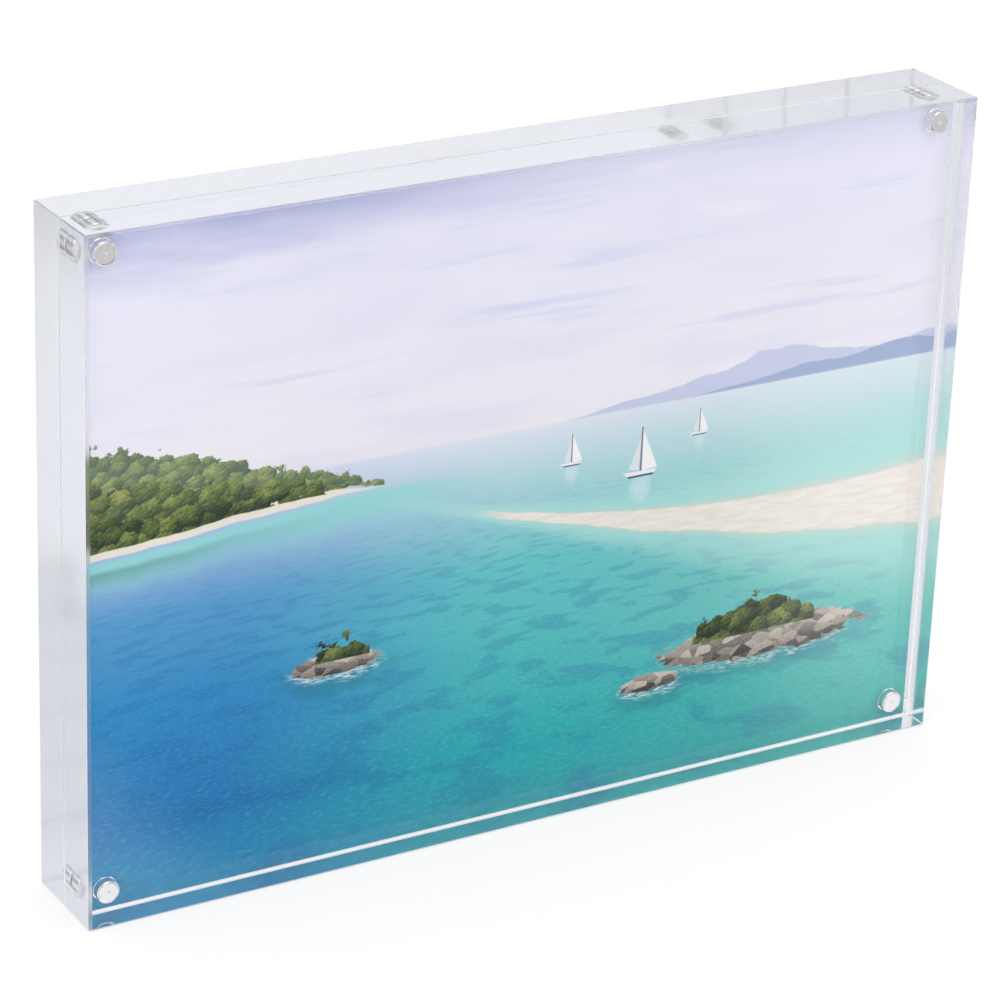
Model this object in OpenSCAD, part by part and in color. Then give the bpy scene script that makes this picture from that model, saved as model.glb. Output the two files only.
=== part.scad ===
// Block frame: two clear cast blocks stand face to face with a paper print between them.
// Four pairs of magnets, each sunk in a blind bore in a mating face, pull the blocks together.
// The origin is the middle of the underside. +X runs along the width, +Z up, and the front face looks to -Y.

/* [Clear blocks] */
// Width of both blocks
block_w = 177.8; // [100:0.1:260]
// Height of both blocks
block_h = 127; // [80:0.1:220]
// Thickness of the front block
front_t = 10; // [8:0.1:20]
// Thickness of the rear block
rear_t = 10; // [8:0.1:20]
// Bevel polished round the front and the back face
edge_bevel = 0.5; // [0.2:0.05:1.5]
// Smaller bevel on the four edges that run from front to back
corner_bevel = 0.2; // [0.1:0.05:1.5]
// Fine bevel on the edges where the blocks meet
seam_bevel = 0.05; // [0.03:0.01:0.5]

/* [Paper print] */
// Thickness of the paper
paper_t = 0.25; // [0.15:0.05:0.6]
// Air film between the paper and each block
air_film = 0.05; // [0.03:0.01:0.1]
// Clear strip between the paper and each side of the blocks
side_margin = 1.3; // [0.2:0.1:4]
// Clear strip between the paper and the top of the blocks
top_margin = 0.7; // [0.2:0.1:4]
// Clear strip between the paper and the base of the blocks
base_margin = 0.5; // [0.2:0.1:4]

/* [Magnets] */
// Diameter of each magnet
magnet_d = 4; // [3:0.1:5]
// Length of each magnet
magnet_l = 3; // [2:0.1:5]
// Radius of the plated rims
magnet_rim = 0.3; // [0.1:0.05:0.5]
// Distance from each side of the blocks to the magnet axes
magnet_from_side = 5.5; // [4:0.1:15]
// Distance from the top of the blocks to the upper magnet axes
magnet_from_top = 5.2; // [4:0.1:15]
// Distance from the base of the blocks to the lower magnet axes
magnet_from_base = 4.5; // [4:0.1:15]

/* [Magnet seats] */
// Gap between a magnet and the wall of its bore
seat_fit = 0.15; // [0.05:0.01:0.3]
// Depth of a magnet's end below the mating face
seat_recess = 0.05; // [0.02:0.01:0.2]
// Air left between a magnet and the foot of its bore
foot_gap = 0.1; // [0.05:0.05:0.4]
// Countersink that takes the burr off the mouth of a bore
mouth_bevel = 0.15; // [0.05:0.05:0.3]
// Diameter of the mark that the cutter's point leaves in the foot of a bore
point_d = 0.8; // [0.4:0.1:1.5]
// Depth of that mark
point_depth = 0.2; // [0.1:0.05:0.4]

/* [Hidden] */
$fn = 64;
// A cut starts this far outside the face that it opens
overcut = 1;

// The slot that the print stands in, and the places of its two walls
slot_t = paper_t + 2 * air_film;
frame_t = front_t + slot_t + rear_t;
slot_front_y = front_t - frame_t / 2;
slot_rear_y = slot_front_y + slot_t;

paper_w = block_w - 2 * side_margin;
paper_h = block_h - top_margin - base_margin;

magnet_r = magnet_d / 2;
column_x = block_w / 2 - magnet_from_side;
bottom_z = magnet_from_base;
top_z = block_h - magnet_from_top;

// A bore is as round at its foot as the rim that stands in it
seat_r = magnet_r + seat_fit;
seat_foot_r = magnet_rim + seat_fit;
seat_depth = seat_recess + magnet_l + foot_gap;

SLABS = ["front", "rear"];
ROWS = ["top", "bottom"];
COLUMNS = ["left", "right"];
function magnet_name(slab, row, column) = str(slab, "_magnet_", row, "_", column);

// Corners of a w by h rectangle with its edges cut back: by near at x = 0 and by far at x = w
function cut_rectangle(w, h, near, far) = [
    [0, near], [near, 0], [w - far, 0], [w, far],
    [w, h - far], [w - far, h], [near, h], [0, h - near]
];

// Puts what is drawn behind y = 0 against the front or the rear wall of the slot
module against(slab) {
    if (slab == "rear") translate([0, slot_rear_y, 0]) children();
    if (slab == "front") translate([0, slot_front_y, 0]) mirror([0, 1, 0]) children();
}

// Puts what is drawn up the Z axis on a magnet axis, running back from y = 0
module at_seat(row, column) {
    x = column == "left" ? -column_x : column_x;
    z = row == "bottom" ? bottom_z : top_z;
    translate([x, 0, z]) rotate([-90, 0, 0]) children();
}

// One block without its bores: the overlap of its front view, its end view and its plan
module bevelled_block(thickness) {
    intersection() {
        translate([-block_w / 2, thickness, 0]) rotate([90, 0, 0])
            linear_extrude(thickness) polygon(cut_rectangle(block_w, block_h, corner_bevel, corner_bevel));
        rotate([90, 0, 90])
            linear_extrude(block_w, center = true)
                polygon(cut_rectangle(thickness, block_h, seam_bevel, edge_bevel));
        translate([block_w / 2, 0, 0]) rotate([0, 0, 90])
            linear_extrude(block_h) polygon(cut_rectangle(thickness, block_w, seam_bevel, edge_bevel));
    }
}

// Space cut for one magnet: countersunk mouth, straight wall, round foot and the mark of the cutter's point
module seat_cut() {
    rotate_extrude() {
        translate([0, -overcut]) square([seat_r, overcut + seat_depth - seat_foot_r]);
        square([seat_r - seat_foot_r, seat_depth]);
        translate([seat_r - seat_foot_r, seat_depth - seat_foot_r]) circle(seat_foot_r);
        polygon([
            [0, mouth_bevel], [seat_r, mouth_bevel],
            [seat_r + mouth_bevel + overcut, -overcut], [0, -overcut]
        ]);
        polygon([[0, seat_depth - point_depth], [point_d / 2, seat_depth], [0, seat_depth + point_depth]]);
    }
}

// One plated magnet, drawn from its mating end up
module magnet() {
    rotate_extrude() {
        square([magnet_r - magnet_rim, magnet_l]);
        translate([0, magnet_rim]) square([magnet_r, magnet_l - 2 * magnet_rim]);
        for (end = [magnet_rim, magnet_l - magnet_rim])
            translate([magnet_r - magnet_rim, end]) circle(magnet_rim);
    }
}

// One clear block, from its mating face back, with a bore for each of its four magnets
module drilled_block(thickness) {
    color("aliceblue", 0.35)
        difference() {
            bevelled_block(thickness);
            for (row = ROWS, column = COLUMNS) at_seat(row, column) seat_cut();
        }
}

module front_block() {
    against("front") drilled_block(front_t);
}

module rear_block() {
    against("rear") drilled_block(rear_t);
}

// The sheet stands in the slot, clear of both blocks and of their edges
module photo_print() {
    color("mediumturquoise")
        translate([-paper_w / 2, slot_front_y + air_film, base_margin]) cube([paper_w, paper_t, paper_h]);
}

module seated_magnet(slab, row, column) {
    color("silver")
        against(slab) at_seat(row, column) translate([0, 0, seat_recess]) magnet();
}

front_block();
rear_block();
photo_print();
for (slab = SLABS, row = ROWS, column = COLUMNS)
    seated_magnet(slab, row, column);
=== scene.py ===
# %% [markdown]
# # A magnetic block frame
# The object is a photo frame with no moulding, no easel and no screws. Two thick slabs of cast acrylic
# stand face to face with a paper print between them, and small magnets in the corners pull them together.
# Almost everything that the eye sees here is light inside clear plastic, so this lesson is mostly about
# real thickness, real air gaps and plain pale surroundings. The slabs and the paper come from a finished
# solid model, which stays where it is: the script dresses it and turns finer magnets for its bores.

# %% Load the solid model
import math

import bpy
from mathutils import Matrix, Vector


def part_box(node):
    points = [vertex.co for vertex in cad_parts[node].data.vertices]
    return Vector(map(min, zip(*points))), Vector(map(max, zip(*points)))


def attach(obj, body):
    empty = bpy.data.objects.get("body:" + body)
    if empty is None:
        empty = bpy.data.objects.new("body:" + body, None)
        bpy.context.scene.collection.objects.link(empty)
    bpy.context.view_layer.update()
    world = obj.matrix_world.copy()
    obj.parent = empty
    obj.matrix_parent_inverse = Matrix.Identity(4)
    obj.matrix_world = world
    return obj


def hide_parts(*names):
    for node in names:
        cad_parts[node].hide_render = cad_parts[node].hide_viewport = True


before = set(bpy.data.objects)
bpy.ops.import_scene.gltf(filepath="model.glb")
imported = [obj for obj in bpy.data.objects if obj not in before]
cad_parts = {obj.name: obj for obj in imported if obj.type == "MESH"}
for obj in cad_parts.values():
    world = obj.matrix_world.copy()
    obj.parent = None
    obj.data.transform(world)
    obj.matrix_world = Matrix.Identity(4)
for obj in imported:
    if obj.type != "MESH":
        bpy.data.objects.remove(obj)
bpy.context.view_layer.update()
MM = 0.001

# %% [markdown]
# The sizes that the looks need are read from the solids and not typed in again, so the dressing follows
# the model if a slab or a magnet changes. Only the finish has numbers of its own.

# %% Sizes read from the solids
block_low, block_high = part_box("front_block")
print_low, print_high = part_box("photo_print")
magnet_low, magnet_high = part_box("front_magnet_top_left")
low_magnet_low, low_magnet_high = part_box("front_magnet_bottom_right")

block_width = block_high.x - block_low.x
block_height = block_high.z - block_low.z
print_width = print_high.x - print_low.x
print_height = print_high.z - print_low.z
magnet_radius = (magnet_high.x - magnet_low.x) / 2
magnet_length = magnet_high.y - magnet_low.y
print(f"slabs {block_width / MM:.1f} x {block_height / MM:.1f} mm")
print(f"print {print_width / MM:.1f} x {print_height / MM:.1f} mm")
print(f"magnets {2 * magnet_radius / MM:.2f} mm across and {magnet_length / MM:.2f} mm long")

# %% [markdown]
# ## Node trees in plain Python
# A pattern in a material is a sum of small steps, and each step is a node. Wiring them by hand hides the
# arithmetic, so one small class wraps a socket and lets Python's own signs add the Math nodes. Writing
# `1 - mask` or `height * 2 + grain` then reads as it would on paper.

# %% A socket that can be written into sums
class Wire:
    """The output of one node, which can be added, multiplied and raised like a number."""

    def __init__(self, tree, socket):
        self.tree = tree
        self.socket = socket

    def math(self, operation, *terms):
        return self.tree.node("ShaderNodeMath", {"operation": operation}, dict(enumerate(terms)))

    def __add__(self, other):
        return self.math("ADD", self, other)

    def __sub__(self, other):
        return self.math("SUBTRACT", self, other)

    def __rsub__(self, other):
        return self.math("SUBTRACT", other, self)

    def __mul__(self, other):
        return self.math("MULTIPLY", self, other)

    def __truediv__(self, other):
        return self.math("DIVIDE", self, other)

    def __rtruediv__(self, other):
        return self.math("DIVIDE", other, self)

    def __pow__(self, other):
        return self.math("POWER", self, other)

    def __abs__(self):
        return self.math("ABSOLUTE", self)

    __radd__ = __add__
    __rmul__ = __mul__

    def beside(self, output):
        """Another output of the same node."""
        return Wire(self.tree, self.tree.find(self.socket.node.outputs, output))

    def least(self, other):
        return self.math("MINIMUM", self, other)

    def most(self, other):
        return self.math("MAXIMUM", self, other)


# %% [markdown]
# Every other node comes from one method. It makes the node, sets its choices first, because some of them
# change which sockets the node has, and then fills the sockets with values or with wires. The same class
# serves for shaders and for geometry, because both kinds of tree take the same Math nodes.

# %% A node tree under construction
class Tree:
    """Nodes and the links between them, for a material, the world or a geometry modifier."""

    def __init__(self, tree):
        self.tree = tree

    def node(self, kind, settings=None, sockets=None, output=0):
        made = self.tree.nodes.new(kind)
        for name, value in (settings or {}).items():
            if name == "stops":
                self.set_stops(made.color_ramp, value)
            elif name == "items":
                self.set_items(made.index_switch_items, value)
            else:
                setattr(made, name, value)
        for key, value in (sockets or {}).items():
            socket = self.find(made.inputs, key)
            if isinstance(value, Wire):
                self.tree.links.new(value.socket, socket)
            else:
                socket.default_value = value
        return Wire(self, self.find(made.outputs, output)) if len(made.outputs) else made

    @staticmethod
    def find(sockets, key):
        if isinstance(key, int):
            return sockets[key]
        by_identifier = [s for s in sockets if s.identifier == key]
        return by_identifier[0] if by_identifier else sockets[key]

    @staticmethod
    def set_stops(ramp, stops):
        while len(ramp.elements) < len(stops):
            ramp.elements.new(1.0)
        for element, (place, colour) in zip(ramp.elements, stops):
            element.position = place
            element.color = colour

    @staticmethod
    def set_items(items, count):
        while len(items) < count:
            items.new()

    def place(self, x, y, z=0.0):
        return self.node("ShaderNodeCombineXYZ", sockets={0: x, 1: y, 2: z})

    def axes(self, vector):
        return [self.node("ShaderNodeSeparateXYZ", sockets={0: vector}, output=i) for i in range(3)]

    def vector_math(self, operation, *terms, output="Vector"):
        return self.node("ShaderNodeVectorMath", {"operation": operation}, dict(enumerate(terms)), output)


# %% [markdown]
# Shaders need a few more steps of their own: mixing colours, a soft step, noise and cells. Each takes plain
# numbers or wires, so a mask can be used wherever a number can.

# %% A shader tree
class Finish(Tree):
    """The shader tree of a material or of the world."""

    def __init__(self, owner):
        owner.use_nodes = True
        super().__init__(owner.node_tree)
        self.owner = owner
        self.tree.nodes.clear()

    def colour_mix(self, factor, first, second):
        sockets = {"Factor_Float": factor, "A_Color": first, "B_Color": second}
        return self.node("ShaderNodeMix", {"data_type": "RGBA"}, sockets, "Result_Color")

    def rise(self, value, start, end):
        """0 up to start and 1 from end, with a smooth curve between them."""
        settings = {"interpolation_type": "SMOOTHSTEP"}
        return self.node("ShaderNodeMapRange", settings, {"Value": value, "From Min": start, "From Max": end})

    def ramp(self, value, stops):
        return self.node("ShaderNodeValToRGB", {"stops": stops}, {0: value})

    def noise(self, place, scale, detail, roughness=0.5, dimensions="3D"):
        sockets = {"Vector": place, "Scale": scale, "Detail": detail, "Roughness": roughness}
        return self.node("ShaderNodeTexNoise", {"noise_dimensions": dimensions}, sockets, "Fac")

    def cells(self, place, output, randomness=0.95):
        settings = {"feature": "F1", "voronoi_dimensions": "3D"}
        sockets = {"Vector": place, "Scale": 1.0, "Randomness": randomness}
        return self.node("ShaderNodeTexVoronoi", settings, sockets, output)

    def object_point(self):
        return self.node("ShaderNodeTexCoord", output="Object")

    def surface(self, sockets):
        shader = self.node("ShaderNodeBsdfPrincipled", sockets=sockets)
        self.node("ShaderNodeOutputMaterial", sockets={"Surface": shader})


def srgb(red, green, blue):
    """A colour as a screen shows it, from 0 to 255, in the linear values that the renderer works in."""
    parts = [c / 255 for c in (red, green, blue)]
    return tuple(c / 12.92 if c <= 0.04045 else ((c + 0.055) / 1.055) ** 2.4 for c in parts) + (1.0,)


def new_material(name):
    return Finish(bpy.data.materials.new(name))


# %% [markdown]
# ## Clear cast acrylic
# The slabs are sawn from cast sheet. Their large faces are as flat as the glass they were cast against, and
# the narrow sides are milled and polished, which leaves them very slightly wavy along the cut. A real
# refracting surface is used: light enters, bends by the index of acrylic, and beyond the critical angle it
# is thrown back from the inside. That is what turns the top and the left side milky and hides the print
# behind them, so no white is painted on. The bevels round the faces are only buffed and so satin, and the
# small ones at the four corners keep the frost of the sanding belt.

# %% Where each finish lies on a slab
bevel_reach = 0.8 * MM
seam_reach = 1.0 * MM
reach_fade = 0.9
square_on = (0.90, 0.95)
turned_forward = (0.1, 0.3)


def cut_masks(finish, point):
    """Masks on a slab: its left end, all its cut sides, the bevels round its face and its corner bevels."""
    x, y, z = finish.axes(point)
    normal = finish.node("ShaderNodeNewGeometry", output="Normal")
    across, along, up = finish.axes(normal)
    flat = abs(across).most(abs(along)).most(abs(up))
    to_side = block_width / 2 - abs(x)
    to_rim = to_side.least(z - block_low.z).least(block_high.z - z)
    at_rim = 1 - finish.rise(to_rim, bevel_reach * reach_fade, bevel_reach)
    bevel = (1 - finish.rise(flat, *square_on)) * at_rim
    round_face = finish.rise(abs(along), *turned_forward)
    corner_bevel = bevel * (1 - round_face)
    face_bevel = bevel * round_face * finish.rise(abs(y), seam_reach * reach_fade, seam_reach)
    left_end = finish.rise(0 - across, *square_on)
    cut_side = finish.rise(abs(across).most(abs(up)), *square_on)
    return left_end, cut_side, face_bevel, corner_bevel


# %% [markdown]
# Clear plastic is not quite clear over a long way: a ray that crosses the slab through its thickness loses
# nothing that shows, but one that runs its whole length comes out darker. That is a loss inside the body,
# so it is a volume absorption and not a tint of the surface.

# %% Acrylic for both slabs
acrylic_index = 1.49
acrylic_surface = (1.0, 1.0, 1.0, 1.0)
acrylic_body = (0.90, 0.93, 1.0, 1.0)
acrylic_density = 1.6
top_roughness = 0.08
end_roughness = 0.17
face_bevel_roughness = 0.5
corner_bevel_roughness = 0.9
saw_marks_per_metre = (30.0, 900.0, 6.0)
saw_mark_strength = 0.12
saw_mark_depth = 0.01 * MM
haze_spots_per_metre = 60.0
haze_least = 0.8
haze_swing = 0.4


def make_acrylic():
    finish = new_material("cast_acrylic")
    point = finish.object_point()
    left_end, cut_side, face_bevel, corner_bevel = cut_masks(finish, point)
    x, y, z = finish.axes(point)
    marks_x, marks_y, marks_z = saw_marks_per_metre
    saw_marks = finish.noise(finish.place(x * marks_x, y * marks_y, z * marks_z), 1.0, 3.0)
    haze = finish.noise(point, haze_spots_per_metre, 3.0)
    polish = cut_side * top_roughness + left_end * (end_roughness - top_roughness)
    buffed = face_bevel * face_bevel_roughness + corner_bevel * corner_bevel_roughness
    bump = finish.node("ShaderNodeBump", sockets={
        "Strength": saw_mark_strength, "Distance": saw_mark_depth, "Height": saw_marks * left_end,
    })
    shader = finish.node("ShaderNodeBsdfPrincipled", sockets={
        "Base Color": acrylic_surface,
        "Roughness": polish * (haze_least + haze * haze_swing) + buffed,
        "IOR": acrylic_index,
        "Transmission Weight": 1.0,
        "Normal": bump,
    })
    body = finish.node("ShaderNodeVolumeAbsorption", sockets={
        "Color": acrylic_body, "Density": acrylic_density,
    })
    finish.node("ShaderNodeOutputMaterial", sockets={"Surface": shader, "Volume": body})
    return finish.owner


acrylic = make_acrylic()
for name in ("front_block", "rear_block"):
    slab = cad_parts[name]
    slab.material_slots[0].material = acrylic
    print(name, "is dressed in", slab.material_slots[0].material.name)

# %% [markdown]
# ## Magnets turned by a modifier
# Each magnet is a little turned cylinder: flat at the end that meets its partner, slightly dished at the
# end that shows, with a pip where the tool left the centre and plated rims that are never quite sharp.
# Every one is alike, so one Geometry Nodes tree turns it once and stands it in four seats. The turning is
# a flat grid wrapped round an axis: one side of the grid walks along the outline and the other goes round.
#
# The magnets are glued in, and clear glue fills the gap round them. With no air left there is no second,
# ghostly wall beside the metal, and the plating shows at the full width of its bore. Glue that cannot be
# told from acrylic is simplest to make by turning each magnet one glue film larger than its solid.

# %% The outline that is turned
glue_round = 0.16 * MM
glue_end = 0.17 * MM
dish_depth = 0.06 * MM
pip_radius = 0.3 * MM
pip_depth = 0.05 * MM
rim_radius = 0.42 * MM
rim_steps = 6
turning_steps = 72
outline_steps = 56
weld_distance = 0.0005 * MM


class Form(Tree):
    """The node tree of a geometry modifier, with its named inputs."""

    def __init__(self, name, inputs):
        super().__init__(bpy.data.node_groups.new(name, "GeometryNodeTree"))
        self.identifiers = {}
        for title, kind in inputs.items():
            socket = self.tree.interface.new_socket(title, in_out="INPUT", socket_type=kind)
            self.identifiers[title] = socket.identifier
        self.tree.interface.new_socket("Geometry", in_out="OUTPUT", socket_type="NodeSocketGeometry")
        self.given = self.node("NodeGroupInput")

    def input(self, title):
        return self.given.beside(title)


def outline_curve(form, radius, length):
    """The half section of one magnet from the middle of its dished end to the middle of its flat end."""
    corners = [
        form.place(0.0, dish_depth + pip_depth),
        form.place(pip_radius, dish_depth),
        form.place(radius, 0.0),
        form.place(radius, length),
        form.place(0.0, length),
    ]
    index = form.node("GeometryNodeInputIndex")
    switch_settings = {"data_type": "VECTOR", "items": len(corners)}
    corner = form.node("GeometryNodeIndexSwitch", switch_settings, dict(enumerate([index, *corners])))
    points = form.node("GeometryNodePoints", sockets={0: len(corners), 1: corner})
    curve = form.node("GeometryNodePointsToCurves", sockets={"Points": points, "Weight": index})
    return form.node("GeometryNodeFilletCurve", {"mode": "POLY"}, {
        "Curve": curve, "Count": rim_steps, "Radius": rim_radius, "Limit Radius": True,
    })


# %% [markdown]
# The grid's own two directions become the two directions of the turned skin. The far edge of the grid lands
# on its first edge and both poles collapse to a point, so a weld closes the seam and the ends. A second,
# coarse grid with only four corners gives the seats.

# %% The tree that turns and seats the magnets
def magnet_form():
    form = Form("turned_magnets", {
        "Radius": "NodeSocketFloat",
        "Length": "NodeSocketFloat",
        "Column Spacing": "NodeSocketFloat",
        "Row Spacing": "NodeSocketFloat",
        "Middle": "NodeSocketVector",
        "Half Turn": "NodeSocketFloat",
        "Finish": "NodeSocketMaterial",
    })
    curve = outline_curve(form, form.input("Radius"), form.input("Length"))
    grid = form.node("GeometryNodeMeshGrid", sockets={
        "Size X": 1.0, "Size Y": 1.0,
        "Vertices X": turning_steps + 1, "Vertices Y": outline_steps + 1,
    })
    turn, walk, _ = form.axes(form.node("GeometryNodeInputPosition"))
    sampled = form.node("GeometryNodeSampleCurve", {"mode": "FACTOR", "use_all_curves": True}, {
        "Curves": curve, "Factor": walk + 0.5,
    }, "Position")
    wrapped = form.node("ShaderNodeVectorRotate", {"rotation_type": "Y_AXIS"}, {
        "Vector": sampled, "Angle": (turn + 0.5) * math.tau,
    })
    mapped = form.node("GeometryNodeStoreNamedAttribute", {"data_type": "FLOAT2", "domain": "CORNER"}, {
        "Geometry": grid, "Name": "UVMap", "Value": grid.beside("UV Map"),
    })
    skin = form.node("GeometryNodeSetPosition", sockets={"Geometry": mapped, "Position": wrapped})
    closed = form.node("GeometryNodeMergeByDistance", sockets={"Geometry": skin, "Distance": weld_distance})
    smooth = form.node("GeometryNodeSetShadeSmooth", sockets={"Geometry": closed})
    seats = form.node("GeometryNodeMeshGrid", sockets={
        "Size X": form.input("Column Spacing"), "Size Y": form.input("Row Spacing"),
        "Vertices X": 2, "Vertices Y": 2,
    })
    upright = form.node("GeometryNodeTransform", sockets={
        "Geometry": seats, "Translation": form.input("Middle"), "Rotation": (math.radians(90), 0, 0),
    })
    placed = form.node("GeometryNodeInstanceOnPoints", sockets={
        "Points": upright, "Instance": smooth, "Rotation": form.place(0.0, 0.0, form.input("Half Turn")),
    })
    real = form.node("GeometryNodeRealizeInstances", sockets={"Geometry": placed})
    plated = form.node("GeometryNodeSetMaterial", sockets={
        "Geometry": real, "Material": form.input("Finish"),
    })
    form.node("NodeGroupOutput", sockets={0: plated})
    return form


magnets_tree = magnet_form()
print("the magnet tree has", len(magnets_tree.tree.nodes), "nodes")
print("its inputs are", ", ".join(magnets_tree.identifiers))

# %% [markdown]
# ## Nickel plate
# The plating is thin and bright, a little warm, and it follows the metal under it: the dished end keeps
# the fine rings of the turning tool, which pull each highlight out into a fan. The rings are a bump that
# reads the distance from the magnet's own axis, so it needs the grid's UV and not a place in the room.
# The drilled wall of the bore is frosted, and the glue carries that onto the side, which is a little rougher.

# %% Plating for the magnets
nickel_colour = srgb(248, 246, 243)
worn_nickel_colour = srgb(232, 228, 222)
stains_per_metre = 900.0
worn_limits = (0.55, 0.75)
rings_on_outline = 400.0
ring_waver = 2.0
ring_strength = 0.3
ring_depth = 0.003 * MM
side_limits = (0.3, 0.8)
plate_roughness = 0.05
stain_roughness = 0.10
side_roughness = 0.12


def make_nickel():
    finish = new_material("nickel_plate")
    point = finish.object_point()
    outward = finish.node("ShaderNodeUVMap", {"uv_map": "UVMap"})
    turn, walk, _ = finish.axes(outward)
    rings = finish.noise(finish.place(walk * rings_on_outline, turn * ring_waver), 1.0, 2.0, 0.6, "2D")
    stain = finish.noise(point, stains_per_metre, 3.0)
    bump = finish.node("ShaderNodeBump", sockets={
        "Strength": ring_strength, "Distance": ring_depth, "Height": rings,
    })
    facing = finish.axes(finish.node("ShaderNodeNewGeometry", output="Normal"))[1]
    side = 1 - finish.rise(abs(facing), *side_limits)
    finish.surface({
        "Base Color": finish.colour_mix(finish.rise(stain, *worn_limits), nickel_colour, worn_nickel_colour),
        "Metallic": 1.0,
        "Roughness": stain * stain_roughness + side * side_roughness + plate_roughness,
        "Normal": bump,
    })
    return finish.owner


nickel = make_nickel()
print("the plating has", len(nickel.node_tree.nodes), "nodes")

# %% [markdown]
# The modifier's inputs are set by their identifiers before the object is first evaluated. The result is
# copied out as a plain mesh, one for each slab, because the four magnets of a slab always move together.

# %% Four magnets for each slab
column_spacing = low_magnet_high.x - magnet_low.x - 2 * magnet_radius
row_spacing = magnet_high.z - low_magnet_high.z
seat_middle_x = (low_magnet_high.x + magnet_low.x) / 2
seat_middle_z = (magnet_high.z + low_magnet_low.z) / 2


def turn_magnets(name, body, outer_y, half_turn):
    carrier = bpy.data.objects.new(name + "_tree", bpy.data.meshes.new(name + "_tree"))
    bpy.context.collection.objects.link(carrier)
    modifier = carrier.modifiers.new("turning", "NODES")
    modifier.node_group = magnets_tree.tree
    values = {
        "Radius": magnet_radius + glue_round,
        "Length": magnet_length + glue_end,
        "Column Spacing": column_spacing,
        "Row Spacing": row_spacing,
        "Middle": (seat_middle_x, outer_y, seat_middle_z),
        "Half Turn": half_turn,
        "Finish": nickel,
    }
    for title, value in values.items():
        modifier[magnets_tree.identifiers[title]] = value
    evaluated = carrier.evaluated_get(bpy.context.evaluated_depsgraph_get())
    mesh = bpy.data.meshes.new_from_object(evaluated)
    mesh.name = name
    bpy.data.objects.remove(carrier)
    piece = bpy.data.objects.new(name, mesh)
    bpy.context.collection.objects.link(piece)
    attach(piece, body)
    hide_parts(*[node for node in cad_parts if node.startswith(body + "_magnet")])
    return piece


def signed_volume(mesh):
    mesh.calc_loop_triangles()
    corners = [[mesh.vertices[i].co for i in triangle.vertices] for triangle in mesh.loop_triangles]
    return sum(a.dot(b.cross(c)) for a, b, c in corners) / 6


front_outer_y = magnet_low.y - glue_end
rear_outer_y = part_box("rear_magnet_top_left")[1].y + glue_end
for piece in (
    turn_magnets("front_magnets", "front", front_outer_y, 0.0),
    turn_magnets("rear_magnets", "rear", rear_outer_y, math.pi),
):
    volume = signed_volume(piece.data) / MM ** 3
    print(piece.name, len(piece.data.polygons), "faces,", f"{volume:.1f} cubic mm for four magnets")

# %% [markdown]
# ## The print
# The paper is a plain inkjet photograph of an invented coast. It is painted with arithmetic: a board 100
# units wide, on which each motif is one coat laid over the last through a mask. First the sky and the sea,
# then what stands on them. Far things are smaller and paler, as haze makes them in a real photograph.

# %% A board to paint on
board_width = 100.0
board_height = board_width * print_height / print_width
horizon = 0.60 * board_height
least_below_horizon = 0.4
spot_roughness = 0.55
print(f"board {board_width:.0f} x {board_height:.1f} units, with the horizon at {horizon:.1f}")


class Picture:
    """Coats of colour on a board, laid from the farthest to the nearest."""

    def __init__(self, finish, x, z):
        self.finish = finish
        self.across = (x - print_low.x) * (board_width / print_width)
        self.up = (z - print_low.z) * (board_height / print_height)
        self.spot = finish.place(self.across, self.up, 1.0)
        self.below = (horizon - self.up).most(least_below_horizon)
        self.colour = None

    def coat(self, mask, colour):
        self.colour = self.finish.colour_mix(mask, self.colour, colour)

    def noise(self, wide, tall, detail, seed):
        """Noise whose spots are about wide by tall units."""
        place = self.finish.place(self.across * (1 / wide), self.up * (1 / tall), seed)
        return self.finish.noise(place, 1.0, detail, spot_roughness)

    def line(self, first, second):
        """Distance to the left of a line through two points, in units."""
        (ax, ay), (bx, by) = first, second
        length = math.hypot(bx - ax, by - ay)
        nx, ny = (ay - by) / length, (bx - ax) / length
        return self.finish.vector_math("DOT_PRODUCT", self.spot, (nx, ny, -nx * ax - ny * ay), output="Value")

    def polygon(self, points, soft):
        """1 inside a convex outline whose points go round anticlockwise."""
        inside = None
        for first, second in zip(points, points[1:] + points[:1]):
            distance = self.line(first, second)
            inside = distance if inside is None else inside.least(distance)
        return self.finish.rise(inside, -soft / 2, soft / 2)

    def ellipse(self, centre, radii, soft, ragged):
        """1 inside an ellipse, with its edge pushed in and out by ragged."""
        dx = (self.across - centre[0]) * (1 / radii[0])
        dy = (self.up - centre[1]) * (1 / radii[1])
        return self.finish.rise(1 - (dx * dx + dy * dy) + ragged, 0.0, soft)


# %% [markdown]
# The sky is palest at the haze over the water and a little bluer overhead, with long thin clouds that the
# wind has drawn out sideways. A darker lavender band along the top edge of the paper is painted shade: it
# stands for the shadow that the top of the slabs casts on the print.

# %% Sky
def paint_sky(picture):
    finish = picture.finish
    height = (picture.up - horizon) * (1 / (board_height - horizon))
    picture.colour = finish.ramp(height, [
        (0.0, srgb(240, 236, 243)),
        (0.35, srgb(236, 234, 245)),
        (0.8, srgb(230, 229, 245)),
        (1.0, srgb(216, 217, 240)),
    ])
    veil = picture.noise(26, 5, 5, 3.0)
    streak = picture.noise(34, 2.2, 6, 8.0)
    corner = finish.rise(height + veil * 0.5, 0.95, 1.35) * (1 - finish.rise(picture.across, 20.0, 62.0))
    picture.coat(finish.rise(veil, 0.42, 0.7) * 0.55, srgb(222, 221, 242))
    picture.coat(finish.rise(streak, 0.56, 0.72) * finish.rise(height, 0.08, 0.3) * 0.6, srgb(206, 208, 238))
    picture.coat(corner * 0.85, srgb(140, 152, 208))
    picture.coat(finish.rise(veil, 0.56, 0.74) * finish.rise(height, 0.3, 0.7) * 0.5, srgb(244, 242, 250))
    # Painted shade: a darker lavender band along the top edge, standing for the shadow of the slabs' top.
    to_top = board_height - picture.up
    picture.coat((1 - finish.rise(to_top, 0.3, 1.5)) * 0.7, srgb(176, 174, 200))


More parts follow.
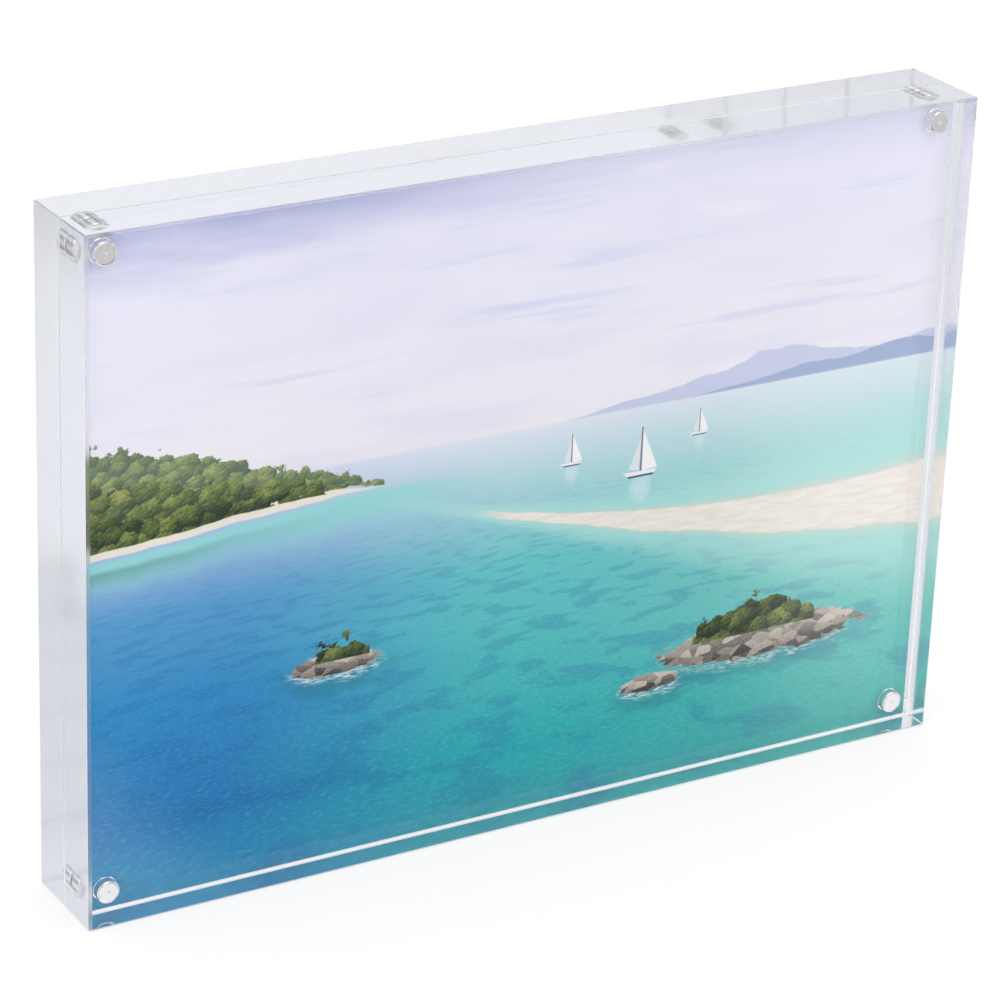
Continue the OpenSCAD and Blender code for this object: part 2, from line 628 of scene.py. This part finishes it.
# %% [markdown]
# The sea runs from deep blue on the left to pale turquoise over sand on the right. Three columns of colour,
# each a ramp from the horizon down, are blended across the board. Ripples are measured on the water and not
# on the paper: a spot of the sea lies farther off the nearer it is to the horizon, so the same ripples close
# up with distance by themselves.

# %% Sea
def paint_sea(picture):
    finish = picture.finish
    depth = picture.below * (1 / horizon)
    drift = picture.noise(30, 7, 4, 5.0) * 16 - 8
    left = finish.ramp(depth, [
        (0.0, srgb(212, 217, 240)), (0.1, srgb(172, 194, 230)), (0.28, srgb(84, 160, 212)),
        (0.5, srgb(34, 142, 202)), (0.8, srgb(14, 124, 188)), (1.0, srgb(6, 148, 194)),
    ])
    middle = finish.ramp(depth, [
        (0.0, srgb(224, 230, 242)), (0.14, srgb(178, 220, 226)), (0.34, srgb(104, 204, 206)),
        (0.55, srgb(80, 196, 198)), (0.8, srgb(32, 182, 186)), (1.0, srgb(6, 168, 180)),
    ])
    right = finish.ramp(depth, [
        (0.0, srgb(218, 230, 238)), (0.2, srgb(170, 222, 218)), (0.45, srgb(138, 212, 204)),
        (0.7, srgb(100, 202, 192)), (1.0, srgb(44, 184, 178)),
    ])
    sea = finish.colour_mix(finish.rise(picture.across + drift, 14.0, 50.0), left, middle)
    sea = finish.colour_mix(finish.rise(picture.across + drift, 48.0, 94.0), sea, right)
    water = 1 - finish.rise(picture.up, horizon - 0.3, horizon + 0.25)
    picture.coat(water, sea)
    far = horizon / picture.below
    ground = finish.place((picture.across - board_width / 2) * far, far * 86.0)
    ripple = finish.noise(ground, 1.0, 6.0, 0.7, "2D")
    reef = finish.noise(ground, 0.09, 5.0, 0.55, "2D")
    near = finish.rise(depth, 0.02, 0.45) * water
    picture.coat(finish.rise(reef, 0.5, 0.62) * near * 0.28, srgb(8, 104, 168))
    picture.coat(finish.rise(ripple, 0.5, 0.78) * near * 0.30, srgb(8, 96, 160))
    picture.coat((1 - finish.rise(ripple, 0.24, 0.5)) * near * 0.20, srgb(150, 226, 230))


# %% [markdown]
# Low hills close the horizon on the right. Their outline is noise that depends only on the place across the
# board, and two rows of them, the farther one paler, are enough to read as distance.

# %% Far hills
def paint_hills(picture):
    finish = picture.finish
    for start, tall, seed, colour in (
        (50.0, 3.4, 11.0, srgb(200, 206, 232)),
        (64.0, 2.2, 17.0, srgb(160, 176, 212)),
    ):
        outline = finish.noise(finish.place(picture.across * 0.07, seed), 1.0, 5.0, 0.5, "2D")
        rim = finish.rise(picture.across, start, start + 30) * (outline * 1.7) * tall
        above_water = finish.rise(picture.up, horizon - 0.1, horizon + 0.1)
        picture.coat(finish.rise(rim - (picture.up - horizon), 0.0, 0.18) * above_water, colour)


# %% [markdown]
# Woods are crowns, and crowns are the cells of a Voronoi pattern: the distance from a cell's middle domes
# each crown and scallops the skyline, and the way from the middle to the spot tells its lit side from its
# shaded side.

# %% Woods
sunward = (-0.45, 0.9, 0.0)
clumps_per_crown = 4.3
leaf_edge = 0.1


def crowns(finish, place):
    """How lit a spot is, how far it lies from the middle of its crown, and the crown's own tint."""
    distance = finish.cells(place, "Distance")
    way = finish.vector_math("SUBTRACT", place, finish.cells(place, "Position"))
    lit = finish.vector_math("DOT_PRODUCT", way, sunward, output="Value")
    tint = finish.axes(finish.cells(place, "Color"))[0]
    return lit, distance, tint


def paint_wood(picture, edge, keep, crown, seed, greens):
    """Trees under the line edge and inside the mask keep, with crowns about crown units across."""
    finish = picture.finish
    jitter = picture.noise(crown * 0.3, crown * 0.3, 3, seed) * 0.7
    wide = picture.across * (1 / crown) + jitter
    tall = picture.up * (1.2 / crown) + jitter
    lit, distance, tint = crowns(finish, finish.place(wide, tall, seed))
    clump_place = finish.place(wide * clumps_per_crown, tall * clumps_per_crown, seed + 2)
    clump_lit, clump_distance, _ = crowns(finish, clump_place)
    leaves = picture.noise(crown * 0.05, crown * 0.05, 3, seed + 4)
    rim = edge + (0.62 - distance * 1.2 - clump_distance * 0.3) * crown
    inside = finish.rise(rim - picture.up, 0.0, leaf_edge) * keep
    shade = lit * 0.5 + clump_lit * 0.3 + leaves * 0.75 - distance * 0.4 - clump_distance * 0.25 + tint * 0.34
    picture.coat(inside, finish.ramp(shade, [(0.0, greens[0]), (0.36, greens[1]), (0.78, greens[2])]))


# %% [markdown]
# A wooded headland comes in from the left, with a strip of beach at its foot, pale water over the sand in
# front of it and the dark image of the trees in the water.

# %% Headland
headland_base = 39.4
headland_reach = 36.0


def paint_headland(picture):
    finish = picture.finish
    slope = 1 - finish.rise(picture.across, -2.0, headland_reach - 3)
    taper = 1 - finish.rise(picture.across, headland_reach - 14, headland_reach)
    wave = picture.noise(7, 60, 3, 21.0)
    foot = headland_base - slope * 2.2 + wave * 0.8
    under = foot - picture.up
    over = picture.up - foot
    shallows = finish.rise(under, -0.2, 0.6) * (1 - finish.rise(under + wave * 2, 2.2, 6.0))
    shallows = shallows * (1 - finish.rise(picture.across, headland_reach - 4, headland_reach + 12))
    picture.coat(shallows * 0.85, srgb(150, 222, 220))
    image = finish.rise(under, 0.9, 1.6) * (1 - finish.rise(under + wave * 1.5, 2.0, 4.4)) * slope
    picture.coat(image * 0.55, srgb(44, 112, 104))
    beach = finish.rise(over, 0.0, 0.2) * (1 - finish.rise(over - taper * 1.4, -0.2, 0.0))
    picture.coat(beach, srgb(240, 232, 219))
    wooded = finish.rise(taper, 0.1, 0.12)
    for height, rise, gap, crown, seed, greens in (
        (1.2, 9.4, 1.6, 1.5, 31.0, (srgb(84, 106, 84), srgb(132, 150, 92), srgb(184, 188, 128))),
        (0.6, 6.2, 1.2, 1.8, 34.0, (srgb(54, 76, 46), srgb(108, 128, 60), srgb(172, 176, 98))),
        (-0.1, 3.0, 0.8, 2.0, 37.0, (srgb(34, 52, 30), srgb(86, 106, 46), srgb(152, 160, 80))),
    ):
        floor = finish.rise(over - taper * gap, 0.0, 0.15)
        paint_wood(picture, foot + height + taper * 1.4 + slope * rise, floor * wooded, crown, seed, greens)


# %% [markdown]
# A sand bar curves in from the right, wide and near at the edge of the paper and thin and far at its tip.
# The same curve with a wider mask gives the shallow water round it.

# %% Sand bar
bar_tip = 43.0
bar_height = 27.0


def paint_bar(picture):
    finish = picture.finish
    out = (board_width - picture.across) * (1 / (board_width - bar_tip))
    wander = picture.noise(11, 5, 4, 41.0) * 2.4 - 1.2
    middle = bar_height + out * out * 8.2 + wander * 0.5
    width = (1 - out).most(0.0) ** 1.3 * 3.6 + 0.25
    reach = 1 - finish.rise(out, 0.9, 1.0)
    away = abs(picture.up - middle) / width
    shallows = (1 - finish.rise(away + wander * 0.2, 1.2, 4.0)) * (1 - finish.rise(out, 0.9, 1.25))
    picture.coat(shallows * 0.7, srgb(184, 232, 226))
    sand = (1 - finish.rise(away + wander * 0.25, 0.86, 1.0)) * reach
    wet = (1 - finish.rise(away + wander * 0.25, 0.95, 1.35)) * reach
    picture.coat(wet * 0.7, srgb(212, 222, 208))
    grain = picture.noise(3.2, 0.5, 6, 47.0)
    picture.coat(sand, finish.ramp(grain, [(0.3, srgb(234, 225, 214)), (0.65, srgb(247, 241, 233))]))


# %% [markdown]
# Small sailing boats give the water its scale. A boat is a few convex outlines: a hull, a mainsail, a jib
# and a mast, and a paler smear under it where the sails stand in the water.

# %% Sailing boats
boats = [(55.0, 38.2, 2.0), (63.5, 35.6, 3.1), (70.5, 38.9, 1.7)]


def paint_boat(picture, x, y, size):
    finish = picture.finish

    def shape(points, soft=0.09):
        return picture.polygon([(x + size * px, y + size * py) for px, py in points], soft)

    wavelets = picture.noise(0.6, 0.2, 2, x) - 0.5
    smear = picture.ellipse((x, y - 0.45 * size), (0.5 * size, 0.7 * size), 0.9, wavelets)
    picture.coat(smear * 0.5, srgb(226, 240, 244))
    picture.coat(shape([(-0.04, 0.1), (0.62, 0.16), (0.0, 1.62)]), srgb(252, 250, 250))
    picture.coat(shape([(-0.5, 0.22), (-0.1, 0.14), (-0.06, 1.3)]), srgb(232, 234, 242))
    picture.coat(shape([(-0.07, 0.0), (0.01, 0.0), (0.01, 1.68), (-0.05, 1.68)], 0.06), srgb(120, 124, 140))
    picture.coat(shape([(-0.5, -0.08), (0.45, -0.08), (0.62, 0.1), (-0.72, 0.12)]), srgb(246, 246, 250))
    picture.coat(shape([(-0.5, -0.1), (0.46, -0.1), (0.5, -0.03), (-0.55, -0.03)], 0.06), srgb(48, 78, 120))


# %% [markdown]
# In front, boulders break the surface with a collar of foam, and scrub grows on their crowns. Rocks are a
# Voronoi pattern too, but each cell keeps one flat tone, so they read as blocks and not as domes.

# %% Rocks and scrub
rocks = [((80.0, 13.6), (13.0, 2.3)), ((66.0, 11.2), (3.6, 1.0)), ((28.0, 21.5), (5.2, 1.2))]
scrub = [((79.0, 14.8), (8.0, 4.0), 51.0), ((28.6, 22.2), (3.4, 2.2), 57.0)]


def paint_rocks(picture, centre, radii):
    finish = picture.finish
    rough = picture.noise(2.2, 1.0, 4, centre[0]) * 1.5 - 0.75
    foam = picture.ellipse((centre[0], centre[1] - 0.5), (radii[0] + 1.0, radii[1] + 0.7), 0.8, rough * 1.2)
    water = picture.ellipse((centre[0], centre[1] - 1.4), (radii[0] + 2.6, radii[1] + 1.6), 1.0, rough)
    picture.coat(water * 0.5, srgb(24, 120, 136))
    picture.coat(foam * finish.rise(picture.noise(0.9, 0.2, 4, 3.0), 0.4, 0.62) * 0.9, srgb(232, 244, 245))
    place = finish.place(picture.across * 0.62, picture.up * 1.15, centre[0])
    tint = finish.axes(finish.cells(place, "Color", 1.0))[0]
    lit = finish.rise(picture.up, centre[1] - radii[1], centre[1] + radii[1])
    shade = tint * 0.45 + lit * 0.35 + picture.noise(0.4, 0.3, 3, 5.0) * 0.4
    stone = picture.ellipse(centre, radii, 0.08, rough)
    picture.coat(stone, finish.ramp(shade, [
        (0.25, srgb(70, 64, 60)), (0.5, srgb(136, 126, 116)), (0.85, srgb(212, 202, 190)),
    ]))


def paint_scrub(picture, centre, radii, seed):
    finish = picture.finish
    greens = (srgb(36, 52, 30), srgb(92, 112, 48), srgb(164, 170, 92))
    dx = (picture.across - centre[0]) * (1 / radii[0])
    edge = (1 - dx * dx).most(0.0) ** 0.5 * radii[1] + centre[1]
    keep = finish.rise(1 - abs(dx), 0.0, 0.04) * finish.rise(picture.up - centre[1], -0.5, -0.3)
    paint_wood(picture, edge, keep, 1.9, seed, greens)


# %% [markdown]
# The coats go on in order and the finished picture feeds one shader. Only the front of the paper is
# printed: the back is bare, matt white stock, told from the front by its place across the thin sheet.

# %% The printed sheet
printed_share = 0.4
fibres_per_metre = 2500.0
fibre_strength = 0.1
fibre_depth = 0.01 * MM
print_roughness = 0.4
bare_side_roughness = 0.3
print_sheen = 0.25


def make_print():
    finish = new_material("photo_paper")
    point = finish.object_point()
    x, y, z = finish.axes(point)
    picture = Picture(finish, x, z)
    paint_sky(picture)
    paint_hills(picture)
    paint_sea(picture)
    paint_headland(picture)
    paint_bar(picture)
    for x_place, height, size in boats:
        paint_boat(picture, x_place, height, size)
    for centre, radii in rocks:
        paint_rocks(picture, centre, radii)
    for centre, radii, seed in scrub:
        paint_scrub(picture, centre, radii, seed)
    back_start = print_low.y + printed_share * (print_high.y - print_low.y)
    back = finish.rise(y, back_start, print_high.y)
    fibres = finish.noise(point, fibres_per_metre, 3.0)
    stock = finish.ramp(fibres, [(0.3, srgb(236, 236, 234)), (0.7, srgb(246, 246, 244))])
    bump = finish.node("ShaderNodeBump", sockets={
        "Strength": fibre_strength, "Distance": fibre_depth, "Height": fibres,
    })
    finish.surface({
        "Base Color": finish.colour_mix(back, picture.colour, stock),
        "Roughness": back * bare_side_roughness + print_roughness,
        "Specular IOR Level": print_sheen,
        "Normal": bump,
    })
    print("the picture took", len(finish.tree.nodes), "nodes")
    return finish.owner


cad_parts["photo_print"].material_slots[0].material = make_print()

# %% [markdown]
# ## The studio
# A clear object has no look of its own: it shows the room. The room here is a pale floor and an even tent
# of light, a little stronger overhead. Both of them ask what kind of ray has arrived. The camera sees plain
# white. A ray that comes through acrylic or off metal sees the room a shade darker, as the real backdrop is
# before its picture is cut out to white. A ray that has already left a matt surface, such as the print,
# gathers the light that falls on it. Blender also counts the surfaces that a ray has passed, which are two
# for one slab. A third means that it went on into the other slab, or from the print back into the first.

# %% Kinds of ray
into_second_slab = (2.4, 2.6)
first_mirror = (0.4, 0.6)
second_mirror = (1.4, 1.6)
white_light = (1.0, 1.0, 1.0, 1.0)


def ray_kinds(finish):
    """1 for a ray from the camera, 1 for one that lights a matt surface, and 1 for one through two slabs."""
    camera_ray = finish.node("ShaderNodeLightPath", output="Is Camera Ray")
    lighting_ray = finish.node("ShaderNodeLightPath", output="Diffuse Depth").least(1.0)
    passes = finish.node("ShaderNodeLightPath", output="Transmission Depth")
    return camera_ray, lighting_ray, finish.rise(passes, *into_second_slab)


def mirrored_once(finish):
    """1 for a ray that was mirrored exactly once on its way."""
    mirrors = finish.node("ShaderNodeLightPath", output="Glossy Depth")
    return finish.rise(mirrors, *first_mirror) * (1 - finish.rise(mirrors, *second_mirror))


# %% [markdown]
# The floor is one sheet of pale paper that keeps the shadow of the frame. What shows of it through the
# acrylic is darker far in front of the frame and straight behind it, or the seam between the slabs would
# show as a white line.
#
# A black card lies on the floor in front of the frame, just out of the picture. The front face and the air
# film mirror it over the print, so the sea keeps its depth where pale floor would lay a veil on it. Only a
# ray that was mirrored exactly once sees the card, so it never shows through a slab that is pulled off.
#
# Each edge below is a pair: where a tone starts and where it is full, in metres from the middle of the
# frame. The right edges of the card and of the floor behind slant, because they follow the line of sight.

# %% Tones of the floor
floor_colour = srgb(242, 242, 243)
floor_white_share = 0.7
floor_seen_share = 0.95
floor_seen_colour = (0.94, 0.95, 0.985, 1.0)
floor_far_colour = (0.58, 0.58, 0.60, 1.0)
floor_behind_colour = (0.66, 0.67, 0.70, 1.0)
floor_through_two_colour = (0.70, 0.73, 0.78, 1.0)
behind_near_edge = (0.013, 0.03)
behind_far_edge = (0.18, 0.22)
behind_right_edge = (0.045, 0.070)
behind_far_share = 0.6
card_colour = (0.09, 0.095, 0.105, 1.0)
card_foot_colour = (0.34, 0.34, 0.36, 1.0)
card_foot_edge = (0.0103, 0.030)
card_near_edge = (0.0103, 0.0108)
card_far_edge = (0.15, 0.20)
card_left_edge = (-0.082, -0.050)
card_right_edge = (0.035, 0.073)
sight_slant = 0.612


def floor_seen_through(finish, second_slab):
    """The colour of the floor for a ray that comes through acrylic or off metal."""
    x, y, _ = finish.axes(finish.object_point())
    away = 0 - y
    near = finish.rise(away, *card_near_edge)
    far = finish.rise(away, *card_far_edge)
    left = finish.rise(x, *card_left_edge)
    right = 1 - finish.rise(x - away * sight_slant, *card_right_edge)
    beside = finish.rise(x - y * sight_slant, *behind_right_edge)
    beside = beside * (1 - finish.rise(y, *behind_far_edge) * behind_far_share)
    behind = finish.rise(y, *behind_near_edge) * (1 - beside)
    card = near * (1 - far) * left * right * mirrored_once(finish)
    black = finish.colour_mix(finish.rise(away, *card_foot_edge), card_foot_colour, card_colour)
    colour = finish.colour_mix(far, floor_seen_colour, floor_far_colour)
    colour = finish.colour_mix(behind, colour, floor_behind_colour)
    colour = finish.colour_mix(second_slab, colour, floor_through_two_colour)
    return finish.colour_mix(card, colour, black)


# %% [markdown]
# Two Mix Shader nodes then choose by the kind of ray. The camera gets mostly white glow and a share of real
# paper, which carries the shadow. A ray through acrylic gets the tones above with very little paper, and a
# ray that lights a matt surface gets paper alone.

# %% Floor
floor_size = 6.0
floor_gap = 0.1 * MM


def make_floor():
    finish = new_material("studio_floor")
    camera_ray, lighting_ray, second_slab = ray_kinds(finish)
    paper = finish.node("ShaderNodeBsdfDiffuse", sockets={"Color": floor_colour})
    white = finish.node("ShaderNodeEmission", sockets={"Color": white_light, "Strength": 1.0})
    seen_colour = floor_seen_through(finish, second_slab)
    seen = finish.node("ShaderNodeEmission", sockets={"Color": seen_colour, "Strength": 1.0})
    glow = finish.node("ShaderNodeMixShader", sockets={0: camera_ray, 1: seen, 2: white})
    share = camera_ray * (floor_white_share - floor_seen_share) + floor_seen_share
    mixed = finish.node("ShaderNodeMixShader", sockets={0: share * (1 - lighting_ray), 1: paper, 2: glow})
    finish.node("ShaderNodeOutputMaterial", sockets={"Surface": mixed})
    mesh = bpy.data.meshes.new("studio_floor")
    half = floor_size / 2
    corners = [(x * half, y * half, -floor_gap) for x, y in ((-1, -1), (1, -1), (1, 1), (-1, 1))]
    mesh.from_pydata(corners, [], [(0, 1, 2, 3)])
    mesh.materials.append(finish.owner)
    floor = bpy.data.objects.new("studio_floor", mesh)
    bpy.context.collection.objects.link(floor)
    print("floor", floor_size, "m square,", round(floor_gap / MM, 2), "mm under the slabs")


make_floor()

# %% [markdown]
# The world is the tent. Its strength rises with height, and what shows of it through the acrylic is a touch
# blue. The acrylic takes about a third of the light that crosses it, for which a photographer would open
# the lens. Light that comes through a slab to the print is that much stronger here instead, so the print
# shows its own colours both in the frame and out of it.

# %% Tent of light
tent_heights = (0.1, 0.95)
tent_light_low = 0.9
tent_light_overhead = 0.35
tent_light_through_slab = 0.62
tent_seen_colour = (0.93, 0.95, 1.0, 1.0)
tent_seen_low = 0.76
tent_seen_overhead = 0.25


def make_world():
    world = bpy.data.worlds.new("studio")
    bpy.context.scene.world = world
    finish = Finish(world)
    camera_ray, lighting_ray, second_slab = ray_kinds(finish)
    height = finish.axes(finish.node("ShaderNodeTexCoord", output="Generated"))[2]
    lift = finish.rise(height, *tent_heights)
    strength = (lift * tent_light_overhead + tent_light_low) * (1 + second_slab * tent_light_through_slab)
    seen_strength = lift * tent_seen_overhead + tent_seen_low
    light = finish.node("ShaderNodeBackground", sockets={"Color": white_light, "Strength": strength})
    seen = finish.node("ShaderNodeBackground", sockets={"Color": tent_seen_colour, "Strength": seen_strength})
    white = finish.node("ShaderNodeBackground", sockets={"Color": white_light, "Strength": 1.0})
    unseen = finish.node("ShaderNodeMixShader", sockets={0: lighting_ray, 1: seen, 2: light})
    mixed = finish.node("ShaderNodeMixShader", sockets={0: camera_ray, 1: unseen, 2: white})
    finish.node("ShaderNodeOutputWorld", sockets={"Surface": mixed})
    print("tent strength", tent_light_low, "low down and", tent_light_low + tent_light_overhead, "overhead")


make_world()

# %% [markdown]
# One large softbox hangs over the left front of the frame. It is the brightest thing in the room, so it
# draws the highlights along the magnets.

# %% Softbox
softbox_side = 0.9
softbox_radiance = 1.5
softbox_place = (-0.2, -0.2, 1.1)
softbox_aim = (0, 0, 0.06)


def make_softbox(name, place, aim):
    lamp = bpy.data.lights.new(name, "AREA")
    lamp.shape = "RECTANGLE"
    lamp.size = softbox_side
    lamp.size_y = softbox_side
    lamp.energy = softbox_radiance * math.pi * softbox_side ** 2
    softbox = bpy.data.objects.new(name, lamp)
    softbox.location = place
    softbox.rotation_euler = (Vector(aim) - Vector(place)).to_track_quat("-Z", "Y").to_euler()
    bpy.context.collection.objects.link(softbox)
    print(name, f"{lamp.energy:.2f} W")


make_softbox("overhead_softbox", softbox_place, softbox_aim)

# %% [markdown]
# ## Camera
# The frame is seen from its left front and a little above, through a long lens. The place of the camera was
# worked out from the corners of the slabs, so the picture of the model falls on the photograph of the frame.

# %% Camera
view_azimuth = -31.48
view_elevation = 23.35
view_roll = -2.23
view_distance = 0.6987
view_aim = Vector((-0.0030, 0.0005, 0.0608))
lens_length = 140.75
sensor_width = 36.0
nearest_drawn = 0.05


def make_camera():
    azimuth, elevation = math.radians(view_azimuth), math.radians(view_elevation)
    level = math.cos(elevation)
    back = Vector((math.sin(azimuth) * level, -math.cos(azimuth) * level, math.sin(elevation)))
    camera = bpy.data.cameras.new("camera")
    camera.lens = lens_length
    camera.sensor_width = sensor_width
    camera.clip_start = nearest_drawn
    viewer = bpy.data.objects.new("camera", camera)
    turn = back.to_track_quat("Z", "Y").to_matrix().to_4x4()
    roll = Matrix.Rotation(math.radians(-view_roll), 4, "Z")
    viewer.matrix_world = Matrix.Translation(view_aim + back * view_distance) @ turn @ roll
    bpy.context.collection.objects.link(viewer)
    bpy.context.scene.camera = viewer
    print("camera at", [round(c / MM) for c in viewer.matrix_world.translation], "mm")


make_camera()

# %% [markdown]
# Light in a slab turns many times before it leaves, so the limit on bounces is raised far over its default.
# With too few, the sides of the slabs go black where the real ones are milky.

# %% Render settings that the acrylic needs
bounces_in_acrylic = 48
scene = bpy.context.scene
scene.view_settings.view_transform = "Standard"
scene.cycles.max_bounces = bounces_in_acrylic
scene.cycles.glossy_bounces = bounces_in_acrylic
scene.cycles.transmission_bounces = bounces_in_acrylic
print("bounces", scene.cycles.max_bounces)
